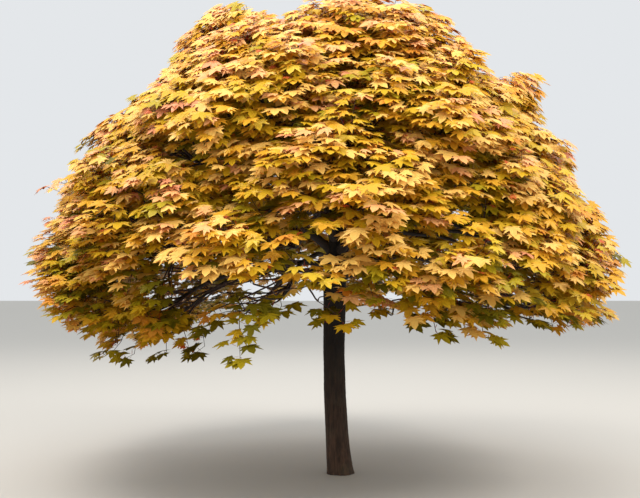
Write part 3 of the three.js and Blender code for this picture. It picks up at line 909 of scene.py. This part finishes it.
def trunk_surface(height, angle, relief):
    """Points round the trunk's middle line at the profile's radius, with a fluted flare at its foot.
    Fissures are cut where a net of smooth chance comes near 0.5, and the graft is lumpier than the rest."""
    profile = np.interp(height, TRUNK_PROFILE[:, 0], TRUNK_PROFILE[:, 1])
    fluting = 1 + BUTTRESS_DEPTH * np.cos(BUTTRESSES * angle)
    radius = profile * (1 + FLARE * np.exp(-height / FLARE_HEIGHT) * fluting)

    def pattern(cells, cell_height, key, aside=0):
        return smooth_chance(cells * angle / (2 * np.pi) + aside, height / cell_height, key, cells)

    net = NET_SHARE * pattern(*BARK_NET, WAVER * pattern(*BARK_WAVER)) + FINE_SHARE * pattern(*BARK_FINE_NET)
    fissure = 1 - smoothstep(np.abs(net - 0.5), 0.0, FISSURE_WIDTH)
    lumps = pattern(*BARK_LUMPS) - 0.5
    grain = pattern(*BARK_GRAIN) - 0.5
    graft = smoothstep(height, *GRAFT_FROM) * (1 - smoothstep(height, *GRAFT_TO))
    moved = GRAIN_SHARE * relief * grain - relief * fissure + LUMP_HEIGHT * lumps * (1 + GRAFT_LUMPS * graft)
    radius = radius + (1 - smoothstep(height, *BARK_END)) * moved
    middle = trunk_middle(height + 0 * angle)
    ring = np.stack([radius * np.cos(angle), radius * np.sin(angle), 0 * radius], axis=-1)
    return middle + ring


class MAPLE_OT_boughs(bpy.types.Operator):
    """Grow the boughs, each with a collar at its root and shallow knots, on into its mass"""

    bl_idname = "maple.boughs"
    bl_label = "Boughs"

    def execute(self, context):
        lines, radii, _, _ = grow(context.scene.maple_sizes.shoots)
        count = len(lines)
        steps = np.linalg.norm(np.diff(lines, axis=1), axis=2)
        along = np.concatenate([np.zeros((count, 1)), np.cumsum(steps, axis=1)], axis=1)[..., None]
        cells, cell_height, depth = KNOTS
        turn = cells * np.arange(BOUGH_SIDES)[None, None] / BOUGH_SIDES + 0 * along
        limb = np.arange(count)[:, None, None]
        knots = smooth_chance(turn, along / cell_height + KNOT_STEP * limb, 90, cells) - 0.5
        swelling, collar_height, fade = COLLAR
        collar = 1 + swelling * np.exp(-np.maximum(0, along - collar_height) / fade)
        points, faces = tubes(lines, radii[..., None] * collar * (1 + depth * knots), BOUGH_SIDES)
        material = smooth_bark_material("maple_bark_young", context.scene.maple_colours.bough_bark, 1 / 90)
        piece("boughs_bark", points, faces, [material], nodes_of("bough"))
        return {"FINISHED"}


def tier_of(mass):
    """Each mass's tier, as the tier's number."""
    return np.repeat(np.arange(len(TIERS)), [tier[1] for tier in TIERS])[mass]


def nodes_of(kind):
    """The nodes of a kind, such as a tier's masses."""
    return [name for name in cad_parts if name.startswith(f"{kind}_")]


def side_of(mass):
    """0 for masses on the left half of the crown and 1 for those on its right."""
    return (MASSES["middle"][mass, 0] > HEART[0]).astype(int)


class MAPLE_OT_twigs(bpy.types.Operator):
    """Grow the branches and shoots of every mass, joined by tier"""

    bl_idname = "maple.twigs"
    bl_label = "Branches and shoots"

    def execute(self, context):
        sizes = context.scene.maple_sizes
        _, _, branches, shoots = grow(sizes.shoots)
        material = smooth_bark_material("maple_twig_bark", context.scene.maple_colours.twig_bark, 0.005)
        taper = np.linspace(1, 0.5, SHOOT_RINGS)[None]
        shoot_radii = taper * np.full((len(shoots["span"]), 1), sizes.shoot_radius)
        for row, (tier, *_) in enumerate(TIERS):
            own = tier_of(branches["mass"]) == row
            points, faces = tubes(branches["lines"][own], branches["radii"][own], BRANCH_SIDES)
            fine = tier_of(shoots["mass"]) == row
            more, more_faces = tubes(shoots["lines"][fine], shoot_radii[fine], SHOOT_SIDES)
            faces = np.concatenate([faces, more_faces + len(points)])
            points = np.concatenate([points, more])
            piece(f"twigs_{tier}", points, faces, [material], nodes_of(f"leaves_{tier}"))
        return {"FINISHED"}


def turn_towards(start, side, angle):
    """Vectors turned from start towards side by an angle, for vectors of length 1 at right angles."""
    return np.cos(angle)[..., None] * start + np.sin(angle)[..., None] * side


def leaf_attitudes(shoots):
    """Which way the light side of each shoot's leaves looks, and which way the leaves point. They lean out
    of the crown, and to the front where they hang in front. Bounds are in metres."""
    x, y, z = shoots["lines"][:, -1].T
    shoot = np.arange(len(x))
    outward = shoots["outward"]
    on_front = smoothstep(-outward[:, 1], 0.2, 0.9) * (1 - smoothstep(z, 1.5, 2.1))
    on_front = on_front * smoothstep(x, -1.0, 0.3)
    at_hem = 1 - smoothstep(z, 1.0, 1.35)
    on_left = smoothstep(-x, 0.7, 1.8) * (1 - smoothstep(z, 1.8, 2.4))
    upper_left = smoothstep(-x, 0.1, 1.0) * smoothstep(z, 1.9, 2.5)
    shoulder = smoothstep(x, 0.4, 1.6) * smoothstep(z, 1.5, 2.0)
    high = smoothstep(z, 2.3, 3.4) * (1 - 0.7 * shoulder)
    tilt = TILT + FRONT_TILT * on_front + HIGH_TILT * high + SHOULDER_TILT * shoulder
    tilt = tilt + UPPER_LEFT_TILT * upper_left + (HEM_TILT + LEFT_HEM_TILT * on_left) * at_hem
    tilt = np.radians(tilt + LEFT_TILT * on_left)[:, None]
    level = np.hypot(outward[:, 0], outward[:, 1])
    level_out = outward * [SIDE_LEAN, 1, 0]
    level_out[:, 0] *= 1 + SHOULDER_LEAN * shoulder - LEFT_LEAN * on_left
    in_front = 1 - smoothstep(y, -0.3, 0.5)
    turned = (FRONT_LEAN + SHOULDER_FRONT * shoulder) * in_front
    level_out[:, 1] -= turned * (level - np.abs(outward[:, 1]))
    level_out = unit(level_out) * smoothstep(level, 0, 0.3)[:, None]
    light = unit(level_out * np.sin(tilt) + UP * np.cos(tilt) + LEAN_SWAY * chance_vectors(100, shoot))
    sideways = np.clip(PARTING_RATE * (x - PARTING) + PARTING_SWAY * spread_chance(113, shoot), -1, 1)
    fore = shoots["axis"] + POINT_ASIDE * sideways[:, None] * [1, 0, 0]
    fore = fore + POINT_SWAY * chance_vectors(111, shoot)
    return light, unit(fore - light * dot(fore, light))


def place_leaves(shoots, sizes):
    """Where every leaf sits on its shoot. Leaves stand in opposite pairs, and each pair opens wider than
    the one before it. The stalk runs out level with the shoot's light side, and the blade sinks from it."""
    light, fore = leaf_attitudes(shoots)
    aside = np.cross(light, fore)
    light, fore, aside = light[:, None, None], fore[:, None, None], aside[:, None, None]
    k = np.arange(len(light))[:, None, None]
    pair = np.arange(len(PAIR_BACK))[None, :, None]
    hand = np.array([-1, 1])[None, None]
    key = np.arange(2)[None, None] + 2 * pair
    lines, bend = shoots["lines"], shoots["bend"]
    share = np.clip(1 - PAIR_BACK / shoots["span"][:, None], NEAREST_FOOT, 1)
    foot = curve_points(lines[:, :1], bend[:, None], lines[:, -1:], share)[:, :, None]
    first, more, spread = PAIR_OPENING
    angle = hand * (first + more * pair + spread * spread_chance(102, k, key))
    angle = angle + SHOOT_TURN * spread_chance(101, k)
    rise, spread = STALK_RISE
    lift = rise + spread * spread_chance(103, k, key)
    stalk_way = unit(turn_towards(fore, aside, angle) + lift[..., None] * light)
    stalk = sizes.stalk * PAIR_STALK[:, None] * (1 + STALK_SWAY * spread_chance(104, k, key))
    joint = foot + stalk[..., None] * stalk_way
    first, more, spread = BLADE_SINK
    sink = np.radians(first + more * pair + spread * spread_chance(105, k, key))
    axis = turn_towards(turn_towards(fore, aside, BLADE_TURN * angle), light, -sink)
    axis = unit(axis - (BLADE_DROOP * chance(106, k, key))[..., None] * UP)
    face = unit(light - axis * dot(axis, light))
    across = np.cross(face, axis)
    roll = BLADE_ROLL * spread_chance(107, k, key)
    across, face = turn_towards(across, face, roll), turn_towards(face, across, -roll)
    opening = (pair == 0) & (chance(112, k, key) < OPENING_SHARE)
    size = sizes.blade * PAIR_BLADE[:, None] * (1 + BLADE_SWAY * spread_chance(108, k, key))
    size = np.where(opening, OPENING_SIZE, 1) * size
    pairs_kept = np.array([layer[3] for layer in LAYERS])[shoots["layer"]][:, None, None]
    kept = (pair < pairs_kept) & (chance(109, k, key) > MISSING_LEAVES)
    fields = {
        "foot": np.broadcast_to(foot, joint.shape),
        "joint": joint,
        "axis": axis,
        "across": across,
        "face": face,
        "size": size,
        "pair": np.broadcast_to(pair, size.shape),
        "shoot": np.broadcast_to(k, size.shape),
        "chance": chance(110, k, key),
        "opening": opening,
    }
    return pick(fields, kept)


def pick(leaves, kept):
    """Those leaves that are kept, with all their fields."""
    return {name: values[kept] for name, values in leaves.items()}


def blades(leaves):
    """A fan of 18 triangles for each blade. Its points stand above a bowl that sinks with the square of the
    distance from the foot, and fold up or down along the midrib."""
    other = [(x, -y, z) for x, y, z in HALF_BLADE]
    rim = [BLADE_FOOT, *other, BLADE_TIP, *HALF_BLADE[::-1]]
    plan = np.array([BLADE_MIDDLE, *rim])
    count = len(leaves["size"])
    k = np.arange(count)[:, None]
    x, y, z = plan.T[:, None]
    least, more = BLADE_BOWL
    bowl = least + more * chance(120, k)
    fold = BLADE_FOLD * spread_chance(121, k)
    wide = 1 + BLADE_WIDTH * spread_chance(122, k)
    height = z - bowl * (x * x + y * y) + fold * np.abs(y)
    local = np.stack([x + 0 * k, y * wide, height], axis=-1) * leaves["size"][:, None, None]
    base = np.stack([leaves["axis"], leaves["across"], leaves["face"]], axis=1)
    points = leaves["joint"][:, None] + np.einsum("nij,njk->nik", local, base)
    i = np.arange(len(rim))
    fan = np.stack([0 * i, i + 1, (i + 1) % len(rim) + 1], axis=1)
    faces = fan[None] + np.arange(count)[:, None, None] * len(plan)
    return points.reshape(-1, 3), faces.reshape(-1, 3), len(fan)


# Sprays by the tints of their leaves: each leaf takes the first, second or third tint by chance and by age.
# The later tints are mostly deeper: partly the older blades' own colour, partly painted shade.
SPRAYS = [
    ("light_gold", "gold", "deep_gold"),
    ("peach", "light_gold", "gold"),
    ("salmon", "light_gold", "gold"),
    ("gold", "deep_gold", "deep_gold"),
    ("orange", "gold", "gold"),
    ("light_gold", "light_gold", "deep_gold"),
    ("gold", "yellow_green", "deep_gold"),
    ("deep_gold", "olive_gold", "olive"),
    ("olive_gold", "olive", "olive"),
]
# A leaf's age from 0 to 2: what each pair of leaves adds, what chance adds, and what is taken off
PAIR_AGE, CHANCE_AGE, YOUNG = 0.45, 1.6, 0.2
# Weights of the sprays in each layer: everywhere, and what is added in a place. The outer layer takes the
# pale sprays, partly their own colours and partly painted light and sheen; the inner layers take deep gold
# and olive ones, painted shade. The deeper sprays on the left and low down are partly painted shade, and
# the pale light_gold on the low left and high in the inner layers is painted light.
SPRAY_WEIGHTS = [
    {
        "everywhere": (0.3, 0.17, 0.03, 0.18, 0.03, 0.18, 0.05, 0.05, 0),
        "left": (-0.2, 0.2, 0.14, 0.1, 0, -0.14, 0, 0.13, 0),
        "right": (-0.06, -0.12, 0, 0, 0, 0.1, 0.34, 0, 0),
        "top": (-0.1, 0.25, 0.03, -0.12, 0.35, 0, -0.05, 0, 0),
        "low": (0, 0, 0, 0, 0.04, -0.15, 0, 0.25, 0.3),
        "low_left": (0, 0, 0, 0, 0, 0.15, 0, 0, -0.15),
    },
    {
        "everywhere": (0.12, 0.01, 0, 0.3, 0.02, 0.04, 0.28, 0.32, 0.05),
        "left": (-0.06, 0.03, 0.02, 0, 0, 0, 0, 0, 0),
        "right": (0, 0, 0, 0, 0, 0.03, 0, 0, 0),
        "low": (0, 0, 0, 0, 0, 0, 0, 0, 0.3),
        "high": (0.4, 0, 0, 0, 0, 0, 0, 0, 0),
    },
    {
        "everywhere": (0, 0, 0, 0.25, 0, 0, 0.2, 0.35, 0.2),
        "low": (0, 0, 0, 0, 0, 0, 0, 0, 0.3),
        "high": (0.4, 0, 0, 0, 0, 0, 0, 0, 0),
    },
]


def deal_tints(leaves, shoots):
    """A plain tint for each leaf, dealt out by spray. Each kind of spray has a weight by its layer and by
    where it hangs: pale tints outside stand partly for painted light, and deep olive ones inside and low
    down partly for painted shade. Young leaves lean to the spray's first tint and old ones to its deeper
    third, which is partly painted shade too, as the old pairs stand back under the young."""
    x, _, z = shoots["lines"][:, -1].T
    places = {
        "everywhere": 1 + 0 * x,
        "left": smoothstep(-x, 0.7, 2.1),
        "right": smoothstep(x, 0.3, 1.7),
        "top": smoothstep(z, 2.7, 3.5),
        "high": smoothstep(z, 1.9, 2.6),
        "low": smoothstep(-z, -1.8, -1.2),
    }
    places["low_left"] = places["low"] * places["left"]
    weights = [sum(np.outer(places[place], row) for place, row in layer.items()) for layer in SPRAY_WEIGHTS]
    weights = np.array(weights)[shoots["layer"], np.arange(len(x))]
    limits = np.cumsum(weights, axis=1) / weights.sum(axis=1, keepdims=True)
    spray = np.sum(chance(130, np.arange(len(x)))[:, None] > limits, axis=1)
    spray[-len(SPRIGS):] = [kind for _, _, kind in SPRIGS]
    table = np.array([[TINT_NAMES.index(name) for name in names] for names in SPRAYS])
    age = PAIR_AGE * leaves["pair"] + CHANCE_AGE * leaves["chance"] - YOUNG
    age = np.clip(np.floor(age), 0, 2).astype(int)
    tints = table[spray[leaves["shoot"]], age]
    tints[leaves["opening"]] = TINT_NAMES.index("young_red")
    return tints


class MAPLE_OT_leaves(bpy.types.Operator):
    """Grow the leaves, joined by tier and side, and their stalks, joined by tier"""

    bl_idname = "maple.leaves"
    bl_label = "Leaves"

    def execute(self, context):
        sizes = context.scene.maple_sizes
        colours = context.scene.maple_colours
        _, _, _, shoots = grow(sizes.shoots)
        leaves = place_leaves(shoots, sizes)
        tints = deal_tints(leaves, shoots)
        materials = [leaf_material(f"maple_leaf_{name}", getattr(colours, name)) for name in TINT_NAMES]
        stalk_material = leaf_material("maple_stalk_red", colours.stalk)
        mass = shoots["mass"][leaves["shoot"]]
        for row, (name, *_) in enumerate(TIERS):
            nodes = nodes_of(f"leaves_{name}")
            for half, side in enumerate(("left", "right")):
                own = (tier_of(mass) == row) & (side_of(mass) == half)
                points, faces, each = blades(pick(leaves, own))
                piece(
                    f"leaves_{name}_{side}", points, faces, materials, nodes,
                    tints=np.repeat(tints[own], each), smooth=False,
                )
            points, faces = stalks(pick(leaves, tier_of(mass) == row))
            piece(f"stalks_{name}", points, faces, [stalk_material], nodes)
        return {"FINISHED"}


def stalks(leaves):
    """A slim spindle of four faces for each stalk: a point at its foot, an edge across its middle and a
    point at the blade."""
    foot, joint = leaves["foot"], leaves["joint"]
    over = unit(np.cross(joint - foot, leaves["across"]))
    middle = foot + 0.5 * (joint - foot)
    half = STALK_WIDTH * leaves["across"]
    points = np.stack([foot, middle - half, middle + half, joint + STALK_WIDTH * over], axis=1)
    one = np.array([[0, 2, 1], [0, 3, 2], [0, 1, 3], [3, 1, 2]])
    faces = one[None] + np.arange(len(foot))[:, None, None] * len(one)
    return points.reshape(-1, 3), faces.reshape(-1, 3)


class MAPLE_OT_stage(bpy.types.Operator):
    """Lay the pale floor, hang the soft lights and set up the camera"""

    bl_idname = "maple.stage"
    bl_label = "Floor, lights and camera"

    def execute(self, context):
        scene = context.scene
        corners = [(x * FLOOR_HALF, y * FLOOR_HALF, 0) for x, y in ((-1, -1), (1, -1), (1, 1), (-1, 1))]
        mesh = bpy.data.meshes.new("floor")
        mesh.from_pydata(corners, [], [(0, 1, 2, 3)])
        material, _, shader = new_material("floor_paint_matt", 0.9)
        shader.inputs["Base Color"].default_value = (*linear(FLOOR_PAINT), 1)
        mesh.materials.append(material)
        add_object("floor", mesh)
        world = bpy.data.worlds.new("studio")
        world.use_nodes = True
        sky = world.node_tree.nodes["Background"].inputs
        sky["Color"].default_value = (*linear(SKY), 1)
        sky["Strength"].default_value = 1.0
        scene.world = world
        scene.view_settings.view_transform = "Standard"
        for name, place, size, power in LAMPS:
            light = bpy.data.lights.new(name, "AREA")
            light.size = size
            light.energy = power
            light.color = linear(LAMP_WHITE)
            lamp = add_object(name, light)
            lamp.location = place
            lamp.rotation_euler = (LAMP_AIM - Vector(place)).to_track_quat("-Z", "Y").to_euler()
        camera = bpy.data.cameras.new("camera")
        camera.lens = LENS
        camera.sensor_width = SENSOR
        camera.sensor_fit = "HORIZONTAL"
        camera.clip_end = 300.0
        eye = add_object("camera", camera)
        eye.location = EYE
        eye.rotation_euler = (np.radians(90 + EYE_RISE), 0, 0)
        scene.camera = eye
        return {"FINISHED"}


class MAPLE_PT_panel(bpy.types.Panel):
    """The sizes, the colours and one button for each group of pieces"""

    bl_idname = "MAPLE_PT_panel"
    bl_label = "Mop-headed maple"
    bl_space_type = "VIEW_3D"
    bl_region_type = "UI"
    bl_category = "Maple"

    def draw(self, context):
        for group in (context.scene.maple_sizes, context.scene.maple_colours):
            for name in group.__annotations__:
                self.layout.prop(group, name)
        for operator in OPERATORS:
            self.layout.operator(operator.bl_idname)


OPERATORS = [MAPLE_OT_stage, MAPLE_OT_trunk, MAPLE_OT_boughs, MAPLE_OT_twigs, MAPLE_OT_leaves]
CLASSES = [MapleSizes, MapleColours, *OPERATORS, MAPLE_PT_panel]


def register():
    for kind in CLASSES:
        bpy.utils.register_class(kind)
    bpy.types.Scene.maple_sizes = PointerProperty(type=MapleSizes)
    bpy.types.Scene.maple_colours = PointerProperty(type=MapleColours)


def unregister():
    del bpy.types.Scene.maple_colours
    del bpy.types.Scene.maple_sizes
    for kind in reversed(CLASSES):
        bpy.utils.unregister_class(kind)


def main():
    """Grow the whole tree on its stage."""
    register()
    bpy.ops.maple.stage()
    bpy.ops.maple.trunk()
    bpy.ops.maple.boughs()
    bpy.ops.maple.twigs()
    bpy.ops.maple.leaves()


if __name__ == "__main__":
    main()
